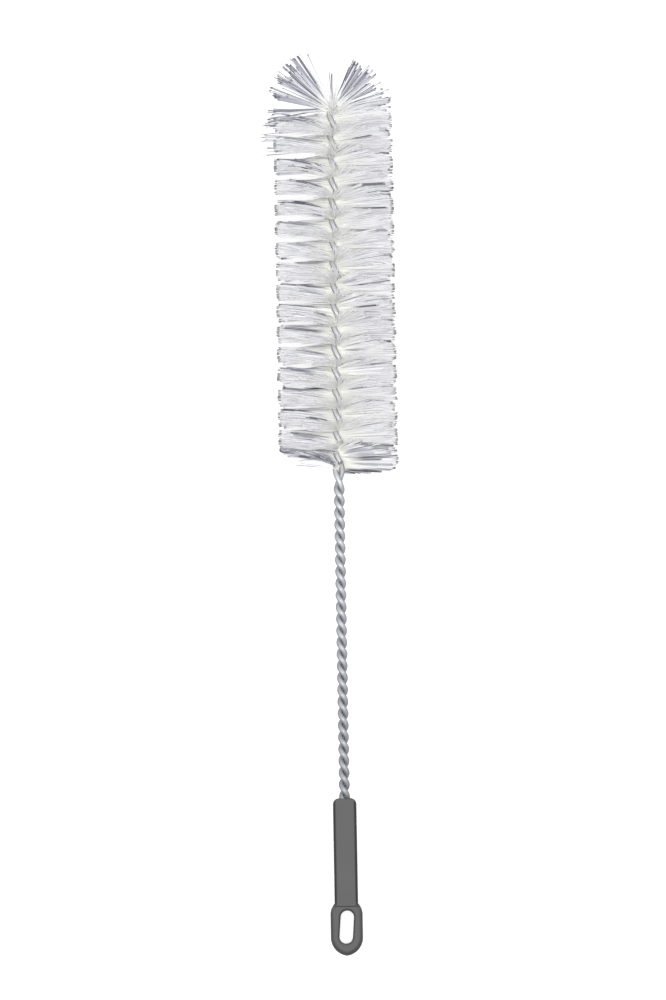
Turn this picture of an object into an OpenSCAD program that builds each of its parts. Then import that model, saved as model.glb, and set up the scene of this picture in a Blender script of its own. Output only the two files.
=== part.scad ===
// Twisted-wire bottle brush, lying as it comes to rest.
//
// The brush is modelled straight, with its axis along Y from the hanging eye (Y = 0) to the bristle
// tips, its flat face up (+Z). at_rest() then tips it until the bristles of the lowest row and the
// eye both touch the floor (Z = 0), and puts the origin under the middle of its length.

/* [Handle] */
// Length of the moulded handle, from the end of the eye to the mouth of the bore
handle_len = 69.4; // [55:0.1:90]
// Width of the grip
grip_w = 10.4; // [8:0.1:13]
// Thickness of the grip
grip_t = 7.6; // [7.5:0.1:10]
// Radius of the grip's long edges and of its upper end
grip_edge = 1.5; // [0.6:0.1:2.2]
// Radius of the grip's upper corners, seen from its broad side
grip_corner = 2.7; // [0.6:0.1:3.5]
// Depth of the bore that holds the wire
bore_depth = 24; // [15:0.5:36]
// Depth of the funnel at the mouth of the bore
funnel_depth = 0.9; // [0.3:0.1:1.5]

/* [Hanging eye] */
// Width of the eye
eye_w = 14.2; // [13.2:0.1:18]
// Thickness of the eye
eye_t = 6.6; // [5:0.1:7.4]
// Radius of the eye's outer edges
eye_edge = 2.2; // [0.6:0.1:2.4]
// Width of the hole in the eye
hole_w = 5.9; // [4.5:0.1:7]
// Length of the hole in the eye
hole_len = 14.6; // [10:0.1:18]
// Turn of the hole, clockwise as seen from above
hole_turn = 4; // [-6:0.5:6]
// Plastic below the hole
hole_foot = 5.3; // [3.8:0.1:7]
// Plastic between the hole and the grip
hole_head = 3.1; // [2.5:0.1:6]
// Radius of the hole's edges
hole_edge = 1.3; // [0.4:0.1:1.8]
// How far each side of the eye's lower arc is drawn past the middle, which makes it slightly pointed
eye_point = 1; // [0:0.1:2]

/* [Wire] */
// Diameter of the wire
wire_d = 2.45; // [1.8:0.05:2.8]
// Length of bare wire between the handle and the first bristles
stem_len = 145.8; // [60:0.1:250]
// Length of one full turn of the bare stem
stem_pitch = 10.5; // [8:0.1:20]
// Length of bare stem that keeps the wider twist of the head
loose_twist = 7.4; // [2:0.1:20]
// Clearance between wires, and between the wire and what it touches
fit_gap = 0.03; // [0.02:0.01:0.08]

/* [Bristle head] */
// Number of rows of bristles along the head
row_count = 17; // [6:1:24]
// Distance from one row to the next, which is half a turn of the wire
row_pitch = 9.44; // [7:0.02:13]
// Radius of the head, at the bristles' ends
head_r = 27; // [15:0.5:36]
// Thickness of the filaments where the wire clamps them
clamp_t = 0.45; // [0.3:0.05:0.55]
// How far the resting weight pushes the lowest bristles in
squash = 2; // [0.5:0.1:3]
// Bundles of filaments in a row
bundles = 14; // [10:1:18]
// Size of a bundle's end, around the head
bundle_w = 2.2; // [1:0.1:2.8]
// Size of a bundle's end, along the head
bundle_h = 2.6; // [1:0.1:3]
// How far the bundles' ends stray along the head, to each side
row_splay = 2.6; // [0:0.1:2.8]
// How much shorter the shortest bundle is
ragged = 1.2; // [0:0.1:2]

/* [Tip] */
// Bundles in the tuft at the tip
tuft_bundles = 15; // [8:1:16]
// How far around the axis the tuft's steepest filaments bend from where the wire clamps them
tuft_turn = 62; // [0:1:64]
// Steepest lift of the tuft's filaments
tuft_lift = 68; // [40:1:72]
// Share of that lift on the tuft's other side
tuft_lean = 0.75; // [0.5:0.05:1]
// Length of the tuft's steepest filaments
tuft_tip_len = 22; // [12:0.5:30]
// Distance from the last row to the wire's fold
tuft_len = 3.2; // [3:0.1:5]
// How far the straying filaments reach past the head's radius
stray_reach = 6; // [0:0.5:8]

/* [Hidden] */
$fn = 48;
golden = 0.618034;

// Wire: each leg runs on a helix, close to the axis on the stem and spread by the filaments in the head
// Between two rings a leg cuts the corner of its helix, so the rings stand out by that much
wire_r = wire_d / 2;
wire_sides = 7;
stem_steps_per_turn = 10;
head_steps_per_turn = 9;
fold_steps = 6;
stem_orbit = (wire_r + fit_gap) / cos(180 / stem_steps_per_turn);
head_orbit = (wire_r + clamp_t / 2 + fit_gap) / cos(180 / head_steps_per_turn);
bore_r = stem_orbit + wire_r + fit_gap;

// Stations along the axis
head_start = handle_len + stem_len;
first_row_y = head_start + row_pitch / 2;
head_end = head_start + row_count * row_pitch;
twist_change_y = head_start - loose_twist;
wire_start = handle_len - bore_depth + wire_r;
fold_y = head_end + tuft_len;
orbit_change = 5;

// Bristles: the bundles part a little beyond where the turn from one to the next outgrows their
// thickness
corners = 4;
bundle_step = row_pitch / bundles;
bundle_turn = 180 / bundles;
part_margin = 1.05;
clamp_r = part_margin * clamp_t / sin(bundle_turn);
first_stray_row = row_count - 1;
stray_angle = 20;

// Tuft: its filaments turn at once and rise almost evenly from the last row to the fold
tuft_step = (tuft_len - fit_gap) / tuft_bundles;
tuft_turn_power = 0.25;
tuft_lift_power = 0.9;

// Eye
eye_r = eye_w / 2;
eye_low_r = eye_r + eye_point;
eye_low_y = sqrt(eye_low_r * eye_low_r - eye_point * eye_point);
hole_r = hole_w / 2;
hole_reach = hole_len / 2 - hole_r;
hole_y = hole_foot + hole_len / 2;
grip_start = hole_foot + hole_len + hole_head;
shoulder_drop = sqrt(eye_r * eye_r - grip_w * grip_w / 4);
eye_high_y = grip_start - shoulder_drop;
step_len = (grip_t - eye_t) / 2 + grip_edge;

// Rest: the lowest row and the round edge at the end of the eye both touch the floor
eye_flat = eye_t / 2 - eye_edge;
rest_arm = head_start - eye_edge;
rest_drop = head_r - squash - eye_flat;
droop = atan(rest_drop / rest_arm) - asin(eye_edge / norm([rest_arm, rest_drop]));
rest_lift = eye_edge * (1 - sin(droop)) + eye_flat * cos(droop);
brush_len = fold_y + tuft_tip_len * sin(tuft_lift);
side_shift = stray_reach / 2;

ROWS = [for (i = [1 : row_count]) str("bristle_row_", i)];

// Puts the straight brush down on the floor
module at_rest() {
    translate([side_shift, -brush_len / 2 * cos(droop), rest_lift])
        rotate([droop, 0, 0])
            children();
}

// Height above the floor of a point on the straight brush
function height(p) = p.y * sin(droop) + p.z * cos(droop) + rest_lift;

// Stops the line from a to b at the floor
function above_floor(a, b) =
    height(b) >= 0 ? b : a + (b - a) * height(a) / (height(a) - height(b));

// Evenly scattered value from -1 to 1 for the whole number i
function scatter(i) = 2 * (i * golden - floor(i * golden)) - 1;

// Turn of the wire at the distance y along the brush: 0 where a leg crosses the front of row 1
function head_turn(y) = 180 * (y - first_row_y) / row_pitch;
function turn(y) =
    y >= twist_change_y
        ? head_turn(y)
        : head_turn(twist_change_y) - 360 * (twist_change_y - y) / stem_pitch;

// Unit vectors around the axis at a turn: out along the filaments, and out to a leg of the wire
function along_bristle(a) = [cos(a), 0, sin(a)];
function toward_leg(a) = [-sin(a), 0, cos(a)];

// Each quad as two triangles
function split(quads) = [for (q = quads) each [[q[0], q[1], q[2]], [q[0], q[2], q[3]]]];

// ---------- Handle ----------

// Half section of the eye's rim, for a disc of radius r
module rim_section(r) {
    inner = r - eye_edge;
    translate([0, -eye_t / 2])
        square([inner, eye_t]);
    translate([0, eye_edge - eye_t / 2])
        square([r, eye_t - 2 * eye_edge]);
    for (side = [-1, 1])
        translate([inner, side * (eye_t / 2 - eye_edge)])
            circle(eye_edge);
}

// Right half of the eye without its hole: a slightly pointed arc, a straight side and a round arc
module half_eye() {
    intersection() {
        union() {
            translate([-eye_point, eye_low_y, 0])
                rotate_extrude()
                    rim_section(eye_low_r);
            translate([0, eye_high_y, 0])
                rotate_extrude()
                    rim_section(eye_r);
            translate([0, eye_high_y, 0])
                rotate([90, 0, 0])
                    linear_extrude(eye_high_y - eye_low_y)
                        rim_section(eye_r);
        }
        translate([0, -1, -eye_t])
            cube([eye_w, grip_start + eye_w, 2 * eye_t]);
    }
}

// Half section of what the hole takes away: its wall swells out to the eye's two faces
module hole_section() {
    difference() {
        translate([0, -eye_t])
            square([hole_r + hole_edge, 2 * eye_t]);
        translate([hole_r, hole_edge - eye_t / 2])
            square([2 * hole_edge, eye_t - 2 * hole_edge]);
        for (side = [-1, 1])
            translate([hole_r + hole_edge, side * (eye_t / 2 - hole_edge)])
                circle(hole_edge);
    }
}

module eye_hole() {
    for (end = [-1, 1])
        translate([0, end * hole_reach, 0])
            rotate_extrude()
                hole_section();
    for (side = [0, 1])
        mirror([side, 0, 0])
            translate([0, hole_reach, 0])
                rotate([90, 0, 0])
                    linear_extrude(2 * hole_reach)
                        hole_section();
}

module rounded_rectangle(w, h, r) {
    square([w - 2 * r, h], center = true);
    square([w, h - 2 * r], center = true);
    for (x = [-1, 1], y = [-1, 1])
        translate([x * (w / 2 - r), y * (h / 2 - r)])
            circle(r);
}

// Outline of the grip seen from a broad or a narrow side: its upper corners have the radius r
module grip_outline(w, r) {
    low = eye_high_y;
    translate([-w / 2, low])
        square([w, handle_len - low - r]);
    translate([r - w / 2, low])
        square([w - 2 * r, handle_len - low]);
    for (side = [-1, 1])
        translate([side * (w / 2 - r), handle_len - r])
            circle(r);
}

// The grip's narrow side, cut back to the eye's thickness along a slope at its lower end
module grip_side() {
    difference() {
        grip_outline(grip_t, grip_edge);
        for (side = [-1, 1])
            polygon([
                [side * eye_t / 2, eye_high_y - 1],
                [side * eye_t / 2, grip_start - grip_edge],
                [side * grip_t, grip_start - grip_edge + 2 * step_len],
                [side * grip_t, eye_high_y - 1]
            ]);
    }
}

module grip() {
    intersection() {
        translate([0, handle_len, 0])
            rotate([90, 0, 0])
                linear_extrude(handle_len - eye_high_y)
                    rounded_rectangle(grip_w, grip_t, grip_edge);
        translate([0, 0, -grip_t])
            linear_extrude(2 * grip_t)
                grip_outline(grip_w, grip_corner);
        translate([-grip_w, 0, 0])
            rotate([0, 90, 0])
                linear_extrude(2 * grip_w)
                    grip_side();
    }
}

module wire_bore() {
    translate([0, handle_len - bore_depth, 0])
        rotate([-90, 0, 0]) {
            cylinder(r = bore_r, h = bore_depth + 1);
            translate([0, 0, bore_depth - funnel_depth])
                cylinder(r1 = bore_r, r2 = bore_r + funnel_depth, h = funnel_depth);
        }
}

module handle() {
    color("#6e6e6e")
        at_rest()
            difference() {
                union() {
                    half_eye();
                    mirror([1, 0, 0])
                        half_eye();
                    grip();
                }
                translate([0, hole_y, 0])
                    rotate(-hole_turn)
                        eye_hole();
                wire_bore();
            }
}

// ---------- Folded wire ----------

// Radius of the legs' helix: it opens where the filaments begin
function orbit(y) =
    y <= head_start - orbit_change ? stem_orbit
    : y >= head_start ? head_orbit
    : head_orbit - (head_orbit - stem_orbit) * (head_start - y) / orbit_change;

// Distances along the brush at which a leg gets a ring of points
stem_steps = ceil((twist_change_y - wire_start) / stem_pitch * stem_steps_per_turn);
head_steps = ceil((fold_y - twist_change_y) / row_pitch / 2 * head_steps_per_turn);
LEG_Y = concat(
    [for (i = [0 : stem_steps - 1]) wire_start + (twist_change_y - wire_start) * i / stem_steps],
    [for (i = [0 : head_steps]) twist_change_y + (fold_y - twist_change_y) * i / head_steps]
);

// A ring's place: [centre, outward, forward], where forward is the way the wire runs
function leg_place(y, side) =
    let (
        a = turn(y) + (side < 0 ? 180 : 0),
        out = toward_leg(a),
        per_mm = y >= twist_change_y ? 180 / row_pitch : 360 / stem_pitch,
        swirl = -along_bristle(a) * orbit(y) * per_mm * PI / 180,
        run = [0, 1, 0] + swirl
    )
    [[0, y, 0] + out * orbit(y), out, run * side / norm(run)];

// The fold: half a circle from one leg over the tip to the other, eased out of the helix
function fold_place(i) =
    let (
        b = 180 * i / fold_steps,
        a = turn(fold_y),
        out = toward_leg(a) * cos(b) + [0, 1, 0] * sin(b),
        run = [0, 1, 0] * cos(b) - toward_leg(a) * sin(b),
        start = leg_place(fold_y, 1)[2],
        finish = leg_place(fold_y, -1)[2],
        ease = abs(cos(b)),
        lean = (b < 90 ? start : finish) * ease + run * (1 - ease)
    )
    [[0, fold_y, 0] + out * head_orbit, out, lean / norm(lean)];

WIRE_PLACES = concat(
    [for (y = LEG_Y) leg_place(y, 1)],
    [for (i = [1 : fold_steps - 1]) fold_place(i)],
    [for (i = [len(LEG_Y) - 1 : -1 : 0]) leg_place(LEG_Y[i], -1)]
);

function ring(place) =
    let (
        side = cross(place[2], place[1]),
        across = side / norm(side)
    )
    [for (k = [0 : wire_sides - 1])
        let (a = 360 * k / wire_sides)
        place[0] + wire_r * (place[1] * cos(a) + across * sin(a))];

module folded_wire() {
    rings = len(WIRE_PLACES);
    last = (rings - 1) * wire_sides;
    points = [for (p = WIRE_PLACES) each ring(p)];
    sides = [for (i = [0 : rings - 2], k = [0 : wire_sides - 1])
        let (
            a = i * wire_sides,
            n = (k + 1) % wire_sides
        )
        [a + k, a + wire_sides + k, a + wire_sides + n, a + n]];
    start_cap = [for (k = [0 : wire_sides - 1]) k];
    end_cap = [for (k = [wire_sides - 1 : -1 : 0]) last + k];
    color("#9aa0a8")
        at_rest()
            polyhedron(points, concat(split(sides), [start_cap, end_cap]));
}

// ---------- Bristles ----------

// The four corners of a bundle's end. The bundle leaves the axis at y and points to the turn aim,
// lifted by lift from square to the axis. Its end is cut parallel to the axis and to the strip.
function bundle_end(y, side, aim, lift, reach, w, h) =
    let (
        root = [0, y, 0],
        tip = root + side * along_bristle(aim) * cos(lift) * reach + [0, sin(lift) * reach, 0],
        up = [0, h / 2 / cos(lift), 0],
        around = side * toward_leg(turn(y)) * w / 2
    )
    [for (c = [[-1, 1], [1, 1], [1, -1], [-1, -1]])
        above_floor(root, tip + up * c[0] + around * c[1])];

// One station of the clamped strip: its four corners between the two legs of the wire
function strip_corners(y) =
    let (
        out = along_bristle(turn(y)) * clamp_r,
        half = toward_leg(turn(y)) * clamp_t / 2,
        mid = [0, y, 0]
    )
    [mid + out + half, mid - out + half, mid - out - half, mid + out - half];

// A stretch of the helical band. Each bundle is [y, turn of its ends, [lift, reach] at one end, the
// same at the other end]. The strip that the wire clamps joins the bundles, as it holds the real
// filaments.
module band(list, step, w, h) {
    count = len(list);
    root = step / 2;
    size = 4 * corners;
    points = [for (b = list) each concat(
        strip_corners(b[0] - root / 2),
        strip_corners(b[0] + root / 2),
        bundle_end(b[0], 1, b[1], b[2][0], b[2][1], w, h),
        bundle_end(b[0], -1, b[1], b[3][0], b[3][1], w, h)
    )];
    across = [for (k = [0 : 2 * count - 2], c = [0, 2])
        let (
            a = floor(k / 2) * size + (k % 2) * corners,
            b = floor((k + 1) / 2) * size + ((k + 1) % 2) * corners
        )
        [b + c + 1, b + c, a + c, a + c + 1]];
    between = [for (j = [0 : count - 2], c = [1, 3])
        let (
            a = j * size + corners,
            b = j * size + size,
            n = (c + 1) % corners
        )
        [a + n, b + n, b + c, a + c]];
    bundles_out = [for (j = [0 : count - 1], e = [0, 1])
        let (
            o = j * size,
            root_loop = e == 0 ? [o, o + 4, o + 7, o + 3] : [o + 2, o + 6, o + 5, o + 1],
            tip = o + (2 + e) * corners
        )
        each concat(
            [for (k = [0 : corners - 1])
                let (n = (k + 1) % corners)
                [root_loop[k], root_loop[n], tip + n, tip + k]],
            [[tip, tip + 1, tip + 2, tip + 3]]
        )];
    last = (count - 1) * size + corners;
    caps = [[3, 2, 1, 0], [last, last + 1, last + 2, last + 3]];
    polyhedron(points, split(concat(across, between, bundles_out, caps)));
}

// How far a bundle reaches past the rim: only on the left (-X) of the rows near the tip
function stray(row, a, side) =
    row >= first_stray_row && side * cos(a) < -cos(stray_angle) ? stray_reach : 0;

// One end of a row's bundle, as [lift, reach]
function row_end(row, i, a, side) =
    let (
        n = (row * bundles + i) * 2 + (side < 0 ? 1 : 0),
        splay = row_splay * scatter(n),
        shortfall = ragged * (1 + scatter(3 * n + 1)) / 2
    )
    [atan(splay / head_r), head_r - shortfall + stray(row, a, side)];

module bristle_row(row) {
    start = head_start + (row - 1) * row_pitch;
    list = [for (i = [0 : bundles - 1])
        let (
            y = start + (i + 0.5) * bundle_step,
            a = turn(y)
        )
        [y, a, row_end(row, i, a, 1), row_end(row, i, a, -1)]];
    color("#eceee8")
        at_rest()
            band(list, bundle_step, bundle_w, bundle_h);
}

module tip_tuft() {
    list = [for (i = [0 : tuft_bundles - 1])
        let (
            u = (i + 0.5) / tuft_bundles,
            y = head_end + (i + 0.5) * tuft_step,
            aim = turn(y) + tuft_turn * pow(u, tuft_turn_power),
            lift = tuft_lift * pow(u, tuft_lift_power),
            reach = head_r - (head_r - tuft_tip_len) * u * u
        )
        [y, aim, [lift * tuft_lean, reach - ragged * (1 + scatter(i)) / 2],
            [lift, reach - ragged * (1 - scatter(i)) / 2]]];
    color("#e6e8e6")
        at_rest()
            band(list, tuft_step, bundle_w, bundle_h / 2);
}

handle();
folded_wire();
for (i = [1 : row_count])
    bristle_row(i);
tip_tuft();
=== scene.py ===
import math
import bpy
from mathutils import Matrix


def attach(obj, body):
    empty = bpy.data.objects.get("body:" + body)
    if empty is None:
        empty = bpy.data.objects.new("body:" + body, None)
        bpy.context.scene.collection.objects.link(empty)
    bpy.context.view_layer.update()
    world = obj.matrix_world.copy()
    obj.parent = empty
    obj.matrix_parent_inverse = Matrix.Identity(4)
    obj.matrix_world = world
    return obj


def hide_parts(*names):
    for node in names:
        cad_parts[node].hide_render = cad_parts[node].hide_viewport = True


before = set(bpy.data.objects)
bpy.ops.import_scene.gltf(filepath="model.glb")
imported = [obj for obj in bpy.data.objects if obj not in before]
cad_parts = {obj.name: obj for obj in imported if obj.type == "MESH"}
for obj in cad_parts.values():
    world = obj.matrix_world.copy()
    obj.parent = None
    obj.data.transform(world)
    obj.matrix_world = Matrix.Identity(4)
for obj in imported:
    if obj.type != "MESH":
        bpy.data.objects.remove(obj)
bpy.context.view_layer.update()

from types import SimpleNamespace

import bpy
import numpy as np
from mathutils import Matrix, Vector

MM = 0.001
SEED = 11
rng = np.random.default_rng(SEED)

# ---------- Sizes, in millimetres, as the CAD source has them ----------
HANDLE_LEN = 69.4
BORE_DEPTH = 24.0
EYE_LEN = 23.0
EYE_T = 6.6
EYE_EDGE = 2.2
EYE_FLAT = EYE_T / 2 - EYE_EDGE
WIRE_D = 2.45
WIRE_R = WIRE_D / 2
STEM_LEN = 145.8
STEM_PITCH = 10.5
LOOSE_TWIST = 7.4
FIT_GAP = 0.03
CLAMP_T = 0.45
ROWS = 17
ROW_PITCH = 9.44
HEAD_R = 27.0
SQUASH = 2.0
STRAY_REACH = 6.0
TUFT_LEN = 3.2
TUFT_TIP_LEN = 22.0
TUFT_LIFT = 68.0
SIDE_SHIFT = 3.0

# Places along the brush, from the end of the eye
WIRE_START = HANDLE_LEN - BORE_DEPTH + WIRE_R
HEAD_START = HANDLE_LEN + STEM_LEN
TWIST_CHANGE_Y = HEAD_START - LOOSE_TWIST
FIRST_ROW_Y = HEAD_START + ROW_PITCH / 2
HEAD_END = HEAD_START + ROWS * ROW_PITCH
FOLD_Y = HEAD_END + TUFT_LEN
BRUSH_LEN = FOLD_Y + TUFT_TIP_LEN * math.sin(math.radians(TUFT_LIFT))

# At rest the brush leans on the edge of its eye and on the lowest filaments of the first row
REST_ARM = HEAD_START - EYE_EDGE
REST_DROP = HEAD_R - SQUASH - EYE_FLAT
DROOP = math.atan2(REST_DROP, REST_ARM) - math.asin(EYE_EDGE / math.hypot(REST_ARM, REST_DROP))
REST_LIFT = EYE_EDGE * (1 - math.sin(DROOP)) + EYE_FLAT * math.cos(DROOP)


def at_rest(points):
    """Points on the straight brush, in mm, to the rest frame, in metres."""
    p = np.asarray(points, float)
    c, s = math.cos(DROOP), math.sin(DROOP)
    out = np.empty_like(p)
    out[..., 0] = p[..., 0] + SIDE_SHIFT
    out[..., 1] = p[..., 1] * c - p[..., 2] * s - BRUSH_LEN / 2 * c
    out[..., 2] = p[..., 1] * s + p[..., 2] * c + REST_LIFT
    return out * MM


def turn(y):
    """Turn of the wire at the distance y along the brush, in radians."""
    y = np.asarray(y, float)
    head = math.pi * (y - FIRST_ROW_Y) / ROW_PITCH
    change = math.pi * (TWIST_CHANGE_Y - FIRST_ROW_Y) / ROW_PITCH
    stem = change - 2 * math.pi * (TWIST_CHANGE_Y - y) / STEM_PITCH
    return np.where(y >= TWIST_CHANGE_Y, head, stem)


# ---------- Meshes ----------
def unit(vectors):
    return vectors / np.linalg.norm(vectors, axis=-1, keepdims=True)


def ring_points(paths, one, other, radius, sides):
    """The points of a ring about each point of the paths, in the plane of two unit vectors."""
    angle = 2 * math.pi * np.arange(sides) / sides
    around = one[..., None, :] * np.cos(angle)[:, None] + other[..., None, :] * np.sin(angle)[:, None]
    return (paths[..., None, :] + around * radius).reshape(-1, 3)


def tube_faces(tubes, rings, sides):
    """Side quads and end caps of tubes that all have the same number of rings."""
    start = (np.arange(tubes) * rings * sides)[:, None]
    k = np.arange(sides)
    following = (k + 1) % sides
    a = start[:, :, None] + (np.arange(rings - 1) * sides)[None, :, None]
    quads = np.stack([a + k, a + following, a + sides + following, a + sides + k], axis=3)
    first = start + k[::-1]
    last = start + (rings - 1) * sides + k
    return quads.reshape(-1, 4).tolist() + first.tolist() + last.tolist()


def filament_tubes(paths, radius, sides):
    """Closed tubes along many paths of one length, which don't run along Y: (tubes, rings, 3)."""
    run = unit(np.gradient(paths, axis=1))
    across = unit(np.cross(run, np.array([0.0, 1.0, 0.0])))
    verts = ring_points(paths, across, np.cross(across, run), radius, sides)
    return verts, tube_faces(*paths.shape[:2], sides)


def swept_tube(path, radius, sides):
    """One closed tube along a path of any form, its rings carried along without twist."""
    run = unit(np.gradient(path, axis=0))
    any_direction = [0.3, 0.2, 1.0]
    normal = np.zeros_like(run)
    normal[0] = unit(np.cross(run[0], any_direction))
    for i in range(1, len(path)):
        normal[i] = unit(normal[i - 1] - run[i] * np.dot(normal[i - 1], run[i]))
    verts = ring_points(path, normal, np.cross(run, normal), radius, sides)
    return verts, tube_faces(1, len(path), sides)


def new_piece(name, verts, faces, finish, attributes=None):
    """A smooth mesh object from rest-frame points, with per-vertex values for its material."""
    mesh = bpy.data.meshes.new(name)
    mesh.from_pydata(verts.tolist(), [], faces)
    mesh.polygons.foreach_set("use_smooth", [True] * len(mesh.polygons))
    for key, values in (attributes or {}).items():
        values = np.asarray(values, np.float32)
        kind, field = ("FLOAT_VECTOR", "vector") if values.shape[-1:] == (3,) else ("FLOAT", "value")
        layer = mesh.attributes.new(key, kind, "POINT")
        layer.data.foreach_set(field, values.ravel())
    mesh.update()
    mesh.materials.append(finish)
    piece = bpy.data.objects.new(name, mesh)
    bpy.context.scene.collection.objects.link(piece)
    return piece


# ---------- Shader nodes ----------
# The Mix node's sockets for colours
COLOUR_A = 6
COLOUR_B = 7
COLOUR_RESULT = 2


def feed(tree, target, inputs):
    """Sets a node's inputs, by name or number, to values or to other nodes' outputs."""
    for key, value in inputs.items():
        if isinstance(value, bpy.types.NodeSocket):
            tree.links.new(value, target.inputs[key])
        else:
            target.inputs[key].default_value = value


def node(tree, kind, inputs=None, **settings):
    made = tree.nodes.new("ShaderNode" + kind)
    for key, value in settings.items():
        setattr(made, key, value)
    feed(tree, made, inputs or {})
    return made


def new_material(name):
    """A new node material, its node tree and its Principled shader."""
    made = bpy.data.materials.new(name)
    made.use_nodes = True
    return made, made.node_tree, made.node_tree.nodes["Principled BSDF"]


def grey(value):
    return (value, value, value, 1)


def ramp(tree, factor, *stops):
    """A colour ramp; each stop is a position and a grey, or a position and red, green and blue."""
    made = node(tree, "ValToRGB", {"Fac": factor})
    elements = made.color_ramp.elements
    while len(elements) < len(stops):
        elements.new(0.5)
    for element, (position, *colour) in zip(elements, stops):
        element.position = position
        element.color = (*colour, 1) if len(colour) == 3 else grey(*colour)
    return made.outputs["Color"]


def attribute(tree, name, output="Fac"):
    return node(tree, "Attribute", attribute_name=name).outputs[output]


def coordinates(tree, kind):
    return node(tree, "TexCoord").outputs[kind]


def noise(tree, scale, detail, stretch=(1.0, 1.0, 1.0)):
    """A noise texture on object coordinates, in metres."""
    mapping = node(tree, "Mapping", {"Vector": coordinates(tree, "Object"), "Scale": stretch})
    inputs = {"Vector": mapping.outputs["Vector"], "Scale": scale, "Detail": detail}
    return node(tree, "TexNoise", inputs).outputs["Fac"]


def mix(tree, factor, a, b, blend="MIX"):
    inputs = {"Factor": factor, COLOUR_A: a, COLOUR_B: b}
    return node(tree, "Mix", inputs, data_type="RGBA", blend_type=blend).outputs[COLOUR_RESULT]


def multiply(tree, a, b):
    return mix(tree, 1.0, a, b, "MULTIPLY")


def vector_math(tree, operation, inputs, output="Vector"):
    return node(tree, "VectorMath", inputs, operation=operation).outputs[output]


def facing(tree, toward):
    """How far a surface is turned toward a direction of the part, from -1 to 1."""
    return vector_math(tree, "DOT_PRODUCT", {0: coordinates(tree, "Normal"), 1: toward}, "Value")


def along_brush(tree, start, end):
    """0 to 1 between two places along the brush, in mm from the end of its eye."""
    place = node(tree, "SeparateXYZ", {"Vector": coordinates(tree, "Object")}).outputs["Y"]
    low, high = ((y - BRUSH_LEN / 2) * MM for y in (start, end))
    return node(tree, "MapRange", {"Value": place, "From Min": low, "From Max": high}).outputs["Result"]


def bump(tree, height, strength, depth):
    """A normal for bumps of a depth in mm."""
    inputs = {"Height": height, "Strength": strength, "Distance": depth * MM}
    return node(tree, "Bump", inputs).outputs["Normal"]


# ---------- Materials ----------
# How far a filament's shading turns outward, at its root and from half way out, and upward
SOFTEN_ROOT = 0.0
SOFTEN = 0.2
LIFT = 0.6
# The near black of the painted shade at a filament's cut end
CUT_END_SHADE = (0.08, 0.08, 0.10, 1)
# How far the wire's paler tone reaches into the head
PALE_INTO_HEAD = 3.0
# How far the painted shade of the eye and of the grip run into each other
EYE_BLEND = 1.5


def softened_normal(tree):
    """Light runs along nylon, so a filament is shaded as if it faced more outward and upward."""
    along = {"Vector": attribute(tree, "outward", "Vector")}
    outward = node(
        tree, "VectorTransform", along, vector_type="VECTOR", convert_from="OBJECT", convert_to="WORLD"
    )
    amount = ramp(tree, attribute(tree, "out"), (0.0, SOFTEN_ROOT), (0.5, SOFTEN))
    scaled = vector_math(tree, "SCALE", {0: outward.outputs["Vector"], "Scale": amount})
    surface = node(tree, "NewGeometry").outputs["Normal"]
    turned = vector_math(tree, "ADD", {0: surface, 1: scaled})
    raised = vector_math(tree, "ADD", {0: turned, 1: (0.0, 0.0, LIFT)})
    return vector_math(tree, "NORMALIZE", {0: raised})


def filament_material():
    """White nylon, faintly cream at the root and greyer toward the cut end. The mesh says how dark
    each place is: tone is 1 where a filament is white and lower in greyer clumps and painted shade,
    and tip is 1 where painted shade darkens its cut end."""
    made, tree, shader = new_material("nylon_filament")
    out = attribute(tree, "out")
    base = ramp(
        tree, out,
        (0.0, 0.99, 0.99, 0.935), (0.35, 0.99, 0.99, 0.965), (0.6, 0.96, 0.96, 0.965),
        (0.85, 0.915, 0.915, 0.93), (1.0, 0.80, 0.80, 0.82),
    )
    tone = attribute(tree, "tone")
    # the dark end of tone is painted shade, where clumps stand for filaments in shadow
    shade = ramp(tree, tone, (0.0, 0.06, 0.06, 0.09), (0.5, 0.55, 0.55, 0.62), (1.0, 1.0))
    # painted shade at the cut end, where tip asks for it
    near_cut = ramp(tree, out, (0.945, 0.0), (0.970, 1.0), (0.995, 1.0), (1.0, 0.8))
    dark = node(tree, "Math", {0: near_cut, 1: attribute(tree, "tip")}, operation="MULTIPLY")
    colour = mix(tree, dark.outputs["Value"], multiply(tree, base, shade), CUT_END_SHADE)
    feed(tree, shader, {
        "Base Color": colour,
        "Roughness": 0.4,
        "Specular IOR Level": 0.3,
        "Normal": softened_normal(tree),
    })
    return made


def wire_material():
    """Galvanised wire: dull on the stem and brighter between the filaments, with painted shade where its
    surface turns away from above.
    """
    made, tree, shader = new_material("galvanised_wire")
    grain = noise(tree, scale=900.0, detail=3.0, stretch=(1.0, 0.35, 1.0))
    zinc = ramp(tree, grain, (0.25, 0.53, 0.54, 0.55), (0.55, 0.61, 0.62, 0.63), (0.80, 0.70, 0.71, 0.72))
    pale_toward_head = ramp(
        tree, along_brush(tree, HANDLE_LEN, HEAD_START + PALE_INTO_HEAD),
        (0.0, 0.44, 0.45, 0.47), (0.6, 0.64, 0.65, 0.70), (0.93, 0.72, 0.72, 0.75), (1.0, 0.86, 0.86, 0.87),
    )
    # painted shade: the wire darkens as its surface turns from up toward the side and down
    up = facing(tree, toward=(0.0, 0.0, 1.0))
    shade = ramp(tree, up, (0.0, 0.40), (0.6, 0.60), (0.92, 1.0))
    feed(tree, shader, {
        "Base Color": multiply(tree, multiply(tree, zinc, pale_toward_head), shade),
        "Metallic": 0.2,
        "Roughness": ramp(tree, grain, (0.3, 0.34), (0.8, 0.50)),
        "Specular IOR Level": 0.6,
        "Normal": bump(tree, grain, strength=0.25, depth=0.04),
    })
    return made


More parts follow.
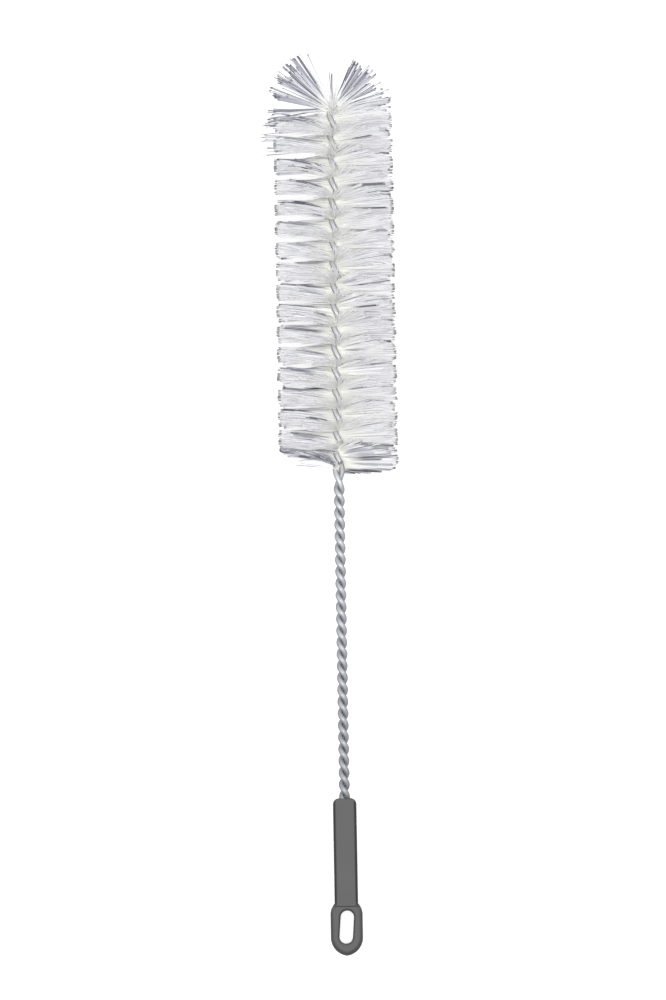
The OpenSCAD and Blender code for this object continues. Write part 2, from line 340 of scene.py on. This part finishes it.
def handle_material():
    """Satin grey plastic, with painted shade that makes its rounded edges darker than its faces, and less
    so at the eye.
    """
    made, tree, shader = new_material("moulded_plastic")
    cloud = noise(tree, scale=60.0, detail=5.0)
    skin = noise(tree, scale=2600.0, detail=2.0)
    base = ramp(tree, cloud, (0.3, 0.086, 0.086, 0.089), (0.7, 0.096, 0.095, 0.098))
    # painted shade: the plastic darkens by how far its surface turns from above, most on the grip's rounded
    # edges
    up = facing(tree, toward=(0.0, 0.5, 1.0))
    grip = ramp(
        tree, up,
        (0.0, 0.75), (0.35, 0.35), (0.72, 0.16), (0.88, 0.38), (0.935, 0.80), (0.95, 0.90), (1.0, 1.0),
    )
    eye = ramp(tree, up, (0.0, 0.75), (0.3, 0.45), (0.72, 0.60), (0.9, 0.88))
    shade = mix(tree, along_brush(tree, EYE_LEN - EYE_BLEND, EYE_LEN + EYE_BLEND), eye, grip)
    feed(tree, shader, {
        "Base Color": multiply(tree, base, shade),
        "Roughness": ramp(tree, cloud, (0.3, 0.52), (0.7, 0.64)),
        "Specular IOR Level": 0.2,
        "Normal": bump(tree, skin, strength=0.18, depth=0.03),
    })
    return made


FILAMENT = filament_material()
WIRE = wire_material()
PLASTIC = handle_material()

# ---------- Handle: the CAD node, with its material ----------
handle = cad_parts["handle"]
handle.data.materials.clear()
handle.data.materials.append(PLASTIC)

# ---------- Wire ----------
STEM_ORBIT = WIRE_R + FIT_GAP
HEAD_ORBIT = WIRE_R + CLAMP_T / 2 + FIT_GAP
# Length over which the legs open, just before the head
ORBIT_CHANGE = 5.0
# Rings along each leg on the stem and in the head, and steps around the fold
STEM_RINGS = 440
HEAD_RINGS = 260
FOLD_STEPS = 16
WIRE_SIDES = 14


def orbit(y):
    """Radius of the legs' helix, opening smoothly where the filaments begin."""
    t = np.clip((y - (HEAD_START - ORBIT_CHANGE)) / ORBIT_CHANGE, 0, 1)
    t = t * t * (3 - 2 * t)
    return STEM_ORBIT + (HEAD_ORBIT - STEM_ORBIT) * t


def leg(y, side):
    """Centre line of one leg of the wire; side is 1 or -1."""
    a = turn(y)
    r = orbit(y) * side
    return np.stack([-np.sin(a) * r, y, np.cos(a) * r], axis=-1)


def wire_piece():
    """One wire: up one leg, around the fold at the tip and down the other leg."""
    stem = np.linspace(WIRE_START, TWIST_CHANGE_Y, STEM_RINGS, endpoint=False)
    y = np.concatenate([stem, np.linspace(TWIST_CHANGE_Y, FOLD_Y, HEAD_RINGS)])
    a = turn(FOLD_Y)
    out = np.array([-math.sin(a), 0, math.cos(a)])
    along = np.array([0, 1.0, 0])
    b = np.linspace(0, math.pi, FOLD_STEPS + 1)[1:-1, None]
    fold = FOLD_Y * along + HEAD_ORBIT * (np.cos(b) * out + np.sin(b) * along)
    path = np.concatenate([leg(y, 1), fold, leg(y[::-1], -1)])
    verts, faces = swept_tube(path, WIRE_R, WIRE_SIDES)
    return new_piece("twisted_wire", at_rest(verts), faces, WIRE)


wire = wire_piece()
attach(wire, "root")
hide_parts("folded_wire")

# ---------- Filaments ----------
# Every filament is one tube, clamped at its middle. Its + half is the one that stands out at the
# azimuth, its - half stands out on the other side.
FILAMENT_R = 0.15
FILAMENT_SIDES = 4
PER_CLUMP = 4
# Where the rings of a half lie, from the clamp to the cut end
HALF = np.array([0.0, 0.06, 0.13, 0.25, 0.42, 0.62, 0.82, 0.965, 0.985, 1.0])
STATIONS = np.concatenate([-HALF[:0:-1], HALF])
# The lean grows with this power of the way out, and the bend over the floor with that one
LEAN_POWER = 0.38
FLOOR_POWER = 1.6
# Length over which a dark stroke fades in and out, as a part of the half
STROKE_FADE = 0.1


def by_half(values):
    """The + end's value on the + half of each filament, the - end's on the other."""
    return np.where((STATIONS >= 0)[None, :, None], values[:, :1, None], values[:, 1:, None])


def filament_paths(y0, azimuth, lean, reach, bow, power=LEAN_POWER):
    """Centre lines of filaments clamped at y0 on the axis, in mm. lean and reach hold, for the + and
    the - end, how far it leans along the brush and how far it reaches; bow bends it sideways."""
    part = np.abs(STATIONS)[None, :]
    lean, reach, bow = (by_half(np.stack(pair, 1))[:, :, 0] for pair in (lean, reach, bow))
    length = reach * part
    along = lean * part ** power
    sway = bow * length ** 2 / HEAD_R
    flat = np.sqrt(np.clip(length ** 2 - along ** 2, 0, None)) * np.where(STATIONS >= 0, 1, -1)
    ca, sa = np.cos(azimuth)[:, None], np.sin(azimuth)[:, None]
    x = flat * ca - sway * sa
    z = flat * sa + sway * ca
    return np.stack([x, y0[:, None] + along, z], axis=-1)


def lay_on_floor(paths):
    """Bends the filaments that would dip under the floor, more towards their tips."""
    away = np.abs(STATIONS) ** FLOOR_POWER
    for end, half in ((0, STATIONS < 0), (-1, STATIONS > 0)):
        under = np.clip(FILAMENT_R * MM - paths[:, end, 2], 0, None)
        paths[:, :, 2] += under[:, None] * (away * half)[None, :]
    return paths


def filament_piece(name, paths, tone, tip, dark_from, dark_to):
    """A piece of filaments. Their looks are given for the + and the - end: a half has its tone from
    dark_from to dark_to, as parts of the way out, and is white elsewhere; tip darkens its cut end."""
    rest = lay_on_floor(at_rest(paths))
    verts, faces = filament_tubes(rest, FILAMENT_R * MM, FILAMENT_SIDES)
    shape = (*paths.shape[:2], FILAMENT_SIDES)
    outward = unit(np.gradient(rest, axis=1)) * np.sign(STATIONS)[None, :, None]
    out = np.broadcast_to(np.abs(STATIONS)[None, :, None], shape)
    shown = np.clip((out - by_half(dark_from)) / STROKE_FADE, 0, 1)
    shown *= np.clip((by_half(dark_to) - out) / STROKE_FADE, 0, 1)
    values = {
        "out": out,
        "tone": 1 - (1 - by_half(tone)) * shown,
        "tip": by_half(tip) * np.ones(shape),
        "outward": np.broadcast_to(outward[:, :, None, :], (*shape, 3)),
    }
    piece = new_piece(name, verts, faces, FILAMENT, values)
    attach(piece, "root")
    return piece


def each(values):
    """One value a clump to one a filament."""
    return np.repeat(values, PER_CLUMP)


def near(values, scatter):
    """The filaments of a clump, scattered about its value."""
    return each(values) + scatter * rng.uniform(-1, 1, len(values) * PER_CLUMP)


# ---------- Rows of the head ----------
CLUMPS = 65
# How a row is clamped: the scatter along the wire, the gap to the next row, and how far clumps turn
# about the wire, in radians, which they do most where they point up or down
CLAMP_SCATTER = 0.3
ROW_GAP = 0.1
LOOSE = 0.04
FRONT_LOOSE = 0.2
TURN_SCATTER = 0.08
# How a row fans out: half its height at the rim, how much fuller most rows are, and how much more it
# opens where it points up or down, as a limit in mm and as a share of a clump's place in the row
ROW_SPREAD = 3.75
ROW_FULLER = 0.75
SLIM_ROWS = range(12, 16)
ROW_OPEN = 3.0
ROW_FAN = 0.6
# Golden steps with a scatter spread the clumps evenly over the row's height
GOLDEN = 0.618
EVEN_SCATTER = 0.06
# How much shorter the outermost clumps and some others are, and how ragged a clump's end is
ROUNDING = 2.4
SHORTER = 0.2
RAGGED = 0.15
# How far the filaments of a clump part at their ends, how much more where they point up or down, and
# how little in a dark clump
PARTING = 0.8
OPEN_PARTING = 0.9
DARK_PARTING = 0.15
# How much clumps bend sideways, and the filaments of one clump
BOW = 0.03
BOW_SCATTER = 0.012
# Tones go from 0, dark, to 1, white. Most clumps are white, and some a little greyer.
GREYER = 0.22
# Strokes of dark clumps along a row's edges, as painted shade where the row's far filaments lie in shadow.
# Each says from and to which place over the row's height, where 1 is the upper edge on the left and
# the lower edge on the right, which share of the clumps is dark on the left and on the right, and how much
# lighter than the darkest.
STROKES = [
    (0.85, 1.0, 0.95, 0.45, 0.0),
    (0.76, 0.85, 1.0, 0.0, 0.35),
    (-1.0, -0.88, 0.55, 0.55, 0.2),
]
STROKE_TONE = 0.08
STROKE_RANGE = 0.4
# Clumps that point less than this to a side stay white, and a clump counts as dark below that tone
WHITE_FRONT = 0.45
DARK_BELOW = 0.7
# Where a stroke begins and how long it is, as parts of the half; it begins later in a leaning clump
STROKE_BEGIN = (0.05, 0.4)
BEGIN_PER_MM = 0.045
STROKE_LENGTH = (0.5, 1.3)
STROKE_BEGIN_SCATTER = 0.08
STROKE_END_SCATTER = 0.1
# Rows with a nearly black band of painted shade at their upper edge on the left
BANDED_ROWS = (13, 15)
BAND_STROKE_TONE = 0.02
BAND_TONE = (0.0, 0.15)
BAND_LEFT = -0.2
BAND_EDGE = 0.7
# The first row's lower edge is drawn up on the left by so many mm, and has dark clumps of painted shade on
# both sides
DRAWN_UP = 8.9
DRAWN_SCATTER = (0.2, 1.2)
FIRST_ROW_TONE = (0.05, 0.6)
FIRST_ROW_RIGHT = 0.3
FIRST_ROW_SHARE = 0.3
FIRST_ROW_BEGIN = (0.1, 0.5)
HELD_PARTING = 0.25
FIRST_ROW_PARTING = 0.45
# From this row on long clumps stray out on the left, and only their ends are dark with painted shade
STRAY_ROW = 16
STRAY_LEFT = -0.9
STRAY_SHARE = 0.24
STRAY_LENGTH = (0.7, 1.05)
STRAY_TONE = (0.1, 0.4)
STRAY_RAGGED = 3.0
STRAY_PARTING = 2.2
STRAY_BEGIN = 0.75
LAST_ROW_BEGIN = 0.45
# Painted shade darkens the cut ends where a filament points to the side, and faintly elsewhere
RIM_FROM = 0.95
RIM_FADE = 0.04
RIM_POWER = 0.25
FAINT_TIP = 0.15


def darken_strokes(half, row):
    """The clumps along the edges of a row that show dark against the gap beside it, as painted shade."""
    darkest = BAND_STROKE_TONE if row in BANDED_ROWS else STROKE_TONE
    dark = darkest + STROKE_RANGE * rng.random(CLUMPS)
    for low, high, left_share, right_share, lighter in STROKES:
        share = np.where(half.points < 0, left_share, right_share)
        here = (half.edge > low) & (half.edge < high) & (half.chance < share)
        half.tone = np.where(here, dark + lighter, half.tone)
    half.tone = np.where(half.side < WHITE_FRONT, 1.0, half.tone)
    open_parting = PARTING + OPEN_PARTING * (1 - half.side)
    half.parting = np.where(half.tone < DARK_BELOW, DARK_PARTING, open_parting)
    if row in BANDED_ROWS:
        band = (half.points < BAND_LEFT) & (half.edge > BAND_EDGE)
        half.tone = np.where(band, rng.uniform(*BAND_TONE, CLUMPS), half.tone)


def draw_up(half, part):
    """The first row's lower edge, which slants up to the left, with dark clumps of painted shade along it.
    """
    lowest = DRAWN_UP * np.clip(-half.points, 0, 1) - ROW_PITCH * part
    lowest += rng.uniform(*DRAWN_SCATTER, CLUMPS)
    held = lowest > half.ends
    right = (half.points > FIRST_ROW_RIGHT) & (half.chance < FIRST_ROW_SHARE)
    half.ends = np.where(held, lowest, half.ends)
    half.tone = np.where(held, rng.uniform(*FIRST_ROW_TONE, CLUMPS), half.tone)
    half.tone = np.where(right, rng.uniform(*FIRST_ROW_TONE, CLUMPS), half.tone)
    half.parting = np.where(held, HELD_PARTING, FIRST_ROW_PARTING)
    half.begin[held] = FIRST_ROW_BEGIN[0] + FIRST_ROW_BEGIN[1] * half.chance[held]


def let_stray(half, row):
    """The long clumps that stray out of the last rows on the left, their ends darkened with painted shade.
    """
    stray = (half.points < STRAY_LEFT) & (half.chance < STRAY_SHARE)
    half.length[stray] = HEAD_R + STRAY_REACH * rng.uniform(*STRAY_LENGTH, stray.sum())
    half.ragged[stray] = STRAY_RAGGED
    half.parting[stray] = STRAY_PARTING
    half.begin[stray] = LAST_ROW_BEGIN if row == ROWS else STRAY_BEGIN
    half.tone[stray] = rng.uniform(*STRAY_TONE, stray.sum())


def clumps_of_half(row, part, points, spread):
    """One half of a row's clumps: where they end, how long and how dark they are. part says where
    along the row each is clamped, and points is 1 for right, -1 for left and 0 for up or down."""
    side = np.abs(points)
    half = SimpleNamespace(points=points, side=side)
    even = (np.arange(CLUMPS) * GOLDEN + rng.random() + rng.normal(0, EVEN_SCATTER, CLUMPS)) % 1
    off = 2 * even - 1
    half.length = HEAD_R - ROUNDING * np.abs(off) ** 6 - SHORTER * rng.random(CLUMPS)
    from_middle = ROW_PITCH * (part - 0.5)
    limit = spread + ROW_OPEN * (1 - side)
    ends = from_middle * (1 + ROW_FAN * (1 - side)) + spread * off * side
    half.ends = np.clip(ends, -limit, limit) - from_middle
    # 1 is a row's upper edge on the left and its lower edge on the right
    half.edge = off * np.where(points < 0, 1, -1)
    half.tone = 1 - GREYER * rng.random(CLUMPS) ** 3
    half.chance = rng.random(CLUMPS)
    half.ragged = np.full(CLUMPS, RAGGED)
    darken_strokes(half, row)
    half.begin = rng.uniform(*STROKE_BEGIN, CLUMPS) + BEGIN_PER_MM * np.abs(half.ends)
    if row == 1:
        draw_up(half, part)
    if row >= STRAY_ROW:
        let_stray(half, row)
    return half


def filaments_of_half(half, azimuth):
    """The values of each filament of one half, drawn in this order."""
    rim = np.clip((np.abs(np.cos(azimuth)) - RIM_FROM) / RIM_FADE, 0, 1)
    return {
        "lean": near(half.ends, each(half.parting)),
        "tone": each(half.tone),
        "dark_from": near(half.begin, STROKE_BEGIN_SCATTER),
        "dark_to": near(half.begin + rng.uniform(*STROKE_LENGTH, CLUMPS), STROKE_END_SCATTER),
        "reach": each(half.length) - each(half.ragged) * rng.random(len(azimuth)),
        "bow": near(rng.normal(0, BOW, CLUMPS), BOW_SCATTER),
        "tip": np.maximum(
            rim * rng.random(len(azimuth)) ** RIM_POWER, FAINT_TIP * rng.random(len(azimuth))
        ),
    }


def row_of_filaments(row):
    """One row of the head: filaments clamped along half a turn of the wire, fanned out on each side."""
    start = HEAD_START + (row - 1) * ROW_PITCH
    part = (np.arange(CLUMPS) + rng.random(CLUMPS)) / CLUMPS
    clamp = start + ROW_PITCH * part
    y0 = np.clip(near(clamp, CLAMP_SCATTER), start + ROW_GAP, start + ROW_PITCH - ROW_GAP)
    angle = turn(clamp)
    loose = LOOSE + FRONT_LOOSE * np.abs(np.sin(angle)) ** 4
    azimuth = near(angle + loose * rng.normal(0, 1, CLUMPS), TURN_SCATTER)
    spread = ROW_SPREAD + ROW_FULLER * rng.random() * (row not in SLIM_ROWS)
    halves = []
    for sign in (1, -1):
        clumps = clumps_of_half(row, part, np.cos(angle) * sign, spread)
        halves.append(filaments_of_half(clumps, azimuth))
    lean, reach, bow, *looks = (
        [half[key] for half in halves]
        for key in ("lean", "reach", "bow", "tone", "tip", "dark_from", "dark_to")
    )
    paths = filament_paths(y0, azimuth, lean, reach, bow)
    looks = [np.stack(values, 1) for values in looks]
    piece = filament_piece(f"filaments_row_{row:02d}", paths, *looks)
    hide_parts(f"bristle_row_{row}")


for row in range(1, ROWS + 1):
    row_of_filaments(row)

# ---------- Tuft at the tip ----------
# The fan opens clump by clump, from the side up; the slab is what lies low on the right
TUFT_CLUMPS = 62
SLAB_CLUMPS = 16
FRONT_CLUMPS = 4
SPRIG_CLUMPS = 1
# Room between the last row and the tuft, and between the tuft and the wire's fold
TUFT_START = 0.3
TUFT_ROOM = 0.6
TUFT_CLAMP_SCATTER = 0.25
# Angles in degrees: the turn about the wire, and each side's lowest rise with the range above it
TUFT_TURN = (-48, 30)
FAN_RIGHT = (12, 52)
FAN_LEFT = (-6, 62)
SLAB_RIGHT = (1, 15)
SLAB_LEFT = (-10, 70)
FAN_POWER = 0.8
FAN_SCATTER = 4
# Scatter within a clump of the turn and of the rise, in radians, and of the reach, in mm
TUFT_TURN_SCATTER = 0.02
RISE_SCATTER = 0.014
REACH_SCATTER = 0.3
TUFT_BOW_SCATTER = 0.01
# How far a clump is clamped off its middle, and how much shorter the right ends are
OFF_MIDDLE = (-1, 3)
FAN_SHORTER = 1.6
SLAB_SHORTER = 0.3
# The sprig is a short clump, dark with painted shade, that stands up in line with the wire
SPRIG_REACH = (14.5, 17)
SPRIG_RISE = (83, 89)
SPRIG_TONE = 0.1
# The right ends of the front clumps come toward the viewer instead, and are white
FRONT_TURN = (215, 325)
FRONT_REACH = (12, 20)
FRONT_RISE = (15, 45)
# Tones of the fan, of the slab's right ends and of the right ends that rise steeply, dark with painted
# shade
FAN_TONE = (0.15, 0.75)
SLAB_TONE = (0.5, 1.0)
STEEP_RISE = 59
STEEP_TONE = 0.05
# Most cut ends are dark with painted shade: how much so is a random value to this power
TIP_POWER = 0.5
# The tone begins at a part of the half, and lasts beyond the cut end
TUFT_BEGIN = (0.1, 0.3)
PAST_THE_END = 2


def rise(fan_range, slab_range, opened, slab):
    """How far each clump's end is lifted out of the row, in degrees: the fan's, then the slab's."""
    fan = fan_range[0] + fan_range[1] * opened + rng.normal(0, FAN_SCATTER, len(opened))
    return np.concatenate([fan, slab_range[0] + slab_range[1] * slab])


def filaments_of(first, count):
    """The filaments of some clumps of the tuft."""
    return slice(first * PER_CLUMP, (first + count) * PER_CLUMP)


def tuft_of_filaments():
    """The last filaments, which nothing holds down: they fan out over the end of the wire. Their
    + ends go to the left and their - ends to the right."""
    fan = TUFT_CLUMPS - SLAB_CLUMPS
    part = np.sort(rng.random(fan))
    clamp = np.concatenate([part, rng.random(SLAB_CLUMPS)])
    clamp = HEAD_END + TUFT_START + (TUFT_LEN - TUFT_START - TUFT_ROOM) * clamp
    y0 = near(clamp, TUFT_CLAMP_SCATTER)
    azimuth = near(np.radians(180 + rng.uniform(*TUFT_TURN, TUFT_CLUMPS)), TUFT_TURN_SCATTER)
    slab = rng.random(SLAB_CLUMPS)
    right = rise(FAN_RIGHT, SLAB_RIGHT, part ** FAN_POWER, slab)
    left = rise(FAN_LEFT, SLAB_LEFT, part ** FAN_POWER, slab)
    rise_right = near(np.radians(right), RISE_SCATTER)
    rise_left = near(np.radians(left), RISE_SCATTER)
    shift = rng.uniform(*OFF_MIDDLE, TUFT_CLUMPS)
    in_fan = np.arange(TUFT_CLUMPS) < fan
    short = np.where(in_fan, HEAD_R - FAN_SHORTER - shift, HEAD_R - SLAB_SHORTER)
    reach = [near(HEAD_R + shift, REACH_SCATTER), near(short, REACH_SCATTER)]
    sprig = filaments_of(fan - 1 - SPRIG_CLUMPS, SPRIG_CLUMPS)
    front = filaments_of(fan - 1 - SPRIG_CLUMPS - FRONT_CLUMPS, FRONT_CLUMPS)
    fronts = FRONT_CLUMPS * PER_CLUMP
    reach[0][sprig] = rng.uniform(*SPRIG_REACH, SPRIG_CLUMPS * PER_CLUMP)
    rise_left[sprig] = np.radians(rng.uniform(*SPRIG_RISE, SPRIG_CLUMPS * PER_CLUMP))
    azimuth[front] = np.radians(rng.uniform(*FRONT_TURN, fronts))
    reach[1][front] = rng.uniform(*FRONT_REACH, fronts)
    rise_right[front] = np.radians(rng.uniform(*FRONT_RISE, fronts))
    lean = [reach[0] * np.sin(rise_left), reach[1] * np.sin(rise_right)]
    bow = [near(rng.normal(0, BOW, TUFT_CLUMPS), TUFT_BOW_SCATTER) for _ in range(2)]
    paths = filament_paths(y0, azimuth, lean, reach, bow, power=1.0)
    tones = rng.uniform(*FAN_TONE, (TUFT_CLUMPS, 2))
    tones[fan:, 1] = rng.uniform(*SLAB_TONE, SLAB_CLUMPS)
    tones[right > STEEP_RISE, 1] = STEEP_TONE
    tone = np.repeat(tones, PER_CLUMP, axis=0)
    tone[front] = 1.0
    tone[sprig, 0] = SPRIG_TONE
    tip = rng.random((len(y0), 2)) ** TIP_POWER
    tip[front] = 0.0
    begin = np.stack([each(rng.uniform(*TUFT_BEGIN, TUFT_CLUMPS)) for _ in range(2)], 1)
    piece = filament_piece("filaments_tuft", paths, tone, tip, begin, begin + PAST_THE_END)
    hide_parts("tip_tuft")


tuft_of_filaments()

# ---------- Floor and light, in metres ----------
FLOOR_SPAN = 6.0
# What the floor gives back to the brush, and how it shows: nearly white, with its shadow
FLOOR_BOUNCE = 0.45
FLOOR_SEEN = 0.72
FLOOR_GLOW = 0.43
ROOM_LIGHT = 0.54
AIM = Vector((0.0, 0.0, 0.03))
LAMPS = [
    # name, place and size in metres, watts
    ("key", (0.0, -0.43, 2.4), 0.4, 35),
    ("right", (1.1, 0.6, 1.2), 1.0, 9),
    ("left", (-1.1, -0.4, 1.2), 1.0, 9),
]


def sees_background(tree):
    """1 for the rays that show the background: from the camera, a mirror or through glass."""
    path = node(tree, "LightPath")
    total = path.outputs["Is Camera Ray"]
    for kind in ("Is Glossy Ray", "Is Transmission Ray"):
        larger = node(tree, "Math", {0: total, 1: path.outputs[kind]}, operation="MAXIMUM")
        total = larger.outputs["Value"]
    return total


def show(tree, lighting, seen, output):
    """Sends a shader for the light in the room and one for what is seen to the output node."""
    both = node(tree, "MixShader", {0: sees_background(tree), 1: lighting, 2: seen})
    feed(tree, tree.nodes[output], {"Surface": both.outputs["Shader"]})


def floor_material():
    made, tree, shader = new_material("floor_white")
    feed(tree, shader, {"Base Color": grey(FLOOR_BOUNCE), "Roughness": 0.9, "Specular IOR Level": 0.0})
    white = node(tree, "BsdfDiffuse", {"Color": grey(FLOOR_SEEN)})
    glow = node(tree, "Emission", {"Strength": FLOOR_GLOW})
    seen = node(tree, "AddShader", {0: white.outputs["BSDF"], 1: glow.outputs["Emission"]})
    show(tree, shader.outputs["BSDF"], seen.outputs["Shader"], "Material Output")
    return made


def floor_piece():
    corners = [(x * FLOOR_SPAN, y * FLOOR_SPAN, 0) for x, y in ((-1, -1), (1, -1), (1, 1), (-1, 1))]
    mesh = bpy.data.meshes.new("floor")
    mesh.from_pydata(corners, [], [(0, 1, 2, 3)])
    mesh.materials.append(floor_material())
    made = bpy.data.objects.new("floor", mesh)
    bpy.context.scene.collection.objects.link(made)
    return made


def light_room():
    """An even white light from all around; the background itself is plain white."""
    world = bpy.data.worlds.new("studio")
    bpy.context.scene.world = world
    world.use_nodes = True
    tree = world.node_tree
    room = tree.nodes["Background"]
    feed(tree, room, {"Color": grey(1), "Strength": ROOM_LIGHT})
    white = node(tree, "Background", {"Color": grey(1), "Strength": 1.0})
    show(tree, room.outputs["Background"], white.outputs["Background"], "World Output")


def area_light(name, place, size, watts):
    """A square soft light that looks at the middle of the brush."""
    data = bpy.data.lights.new(name, "AREA")
    data.size = size
    data.energy = watts
    lamp = bpy.data.objects.new(name, data)
    lamp.location = place
    lamp.rotation_euler = (AIM - Vector(place)).to_track_quat("-Z", "Y").to_euler()
    bpy.context.scene.collection.objects.link(lamp)


floor = floor_piece()
light_room()
for lamp in LAMPS:
    area_light(*lamp)

# ---------- Camera ----------
# The photograph looks at the brush's flat side, a little from the handle's end
DISTANCE = 2.0
TILT = math.radians(4.6)
ROLL = math.radians(1.0)
# Height of the sensor, in mm
SENSOR = 36
# Rows of pixels in the photograph: its height, its middle and the end of the eye
PHOTO_ROWS = 1000
MIDDLE_ROW = 500
EYE_END_ROW = 953.7
MM_PER_PX = 0.4451
# The middle of the photograph lies a little to the left of the wire, in mm
MIDDLE_X = -2.8


def photo_camera():
    """A camera square to the brush but for its tilt and roll, aimed at the photograph's middle."""
    middle_y = (EYE_END_ROW - MIDDLE_ROW) * MM_PER_PX
    target = Vector(at_rest([(MIDDLE_X, middle_y, 0)])[0])
    axis = Vector((0, math.cos(DROOP), math.sin(DROOP)))
    face_up = Vector((0, -math.sin(DROOP), math.cos(DROOP)))
    side = Vector((1, 0, 0))
    away = face_up * math.cos(TILT) - axis * math.sin(TILT)
    level = axis * math.cos(TILT) + face_up * math.sin(TILT)
    up = level * math.cos(ROLL) + side * math.sin(ROLL)
    right = side * math.cos(ROLL) - level * math.sin(ROLL)
    pose = Matrix((right, up, away)).transposed().to_4x4()
    pose.translation = target + away * DISTANCE
    data = bpy.data.cameras.new("camera")
    data.sensor_fit = "VERTICAL"
    data.sensor_height = SENSOR
    data.lens = SENSOR * DISTANCE / (PHOTO_ROWS * MM_PER_PX * MM)
    made = bpy.data.objects.new("camera", data)
    made.matrix_world = pose
    bpy.context.scene.collection.objects.link(made)
    return made


bpy.context.scene.camera = photo_camera()
bpy.context.scene.view_settings.view_transform = "Standard"
# Light passes from filament to filament many times before it comes out of the head
BOUNCES = 32
bpy.context.scene.cycles.max_bounces = BOUNCES
bpy.context.scene.cycles.diffuse_bounces = BOUNCES
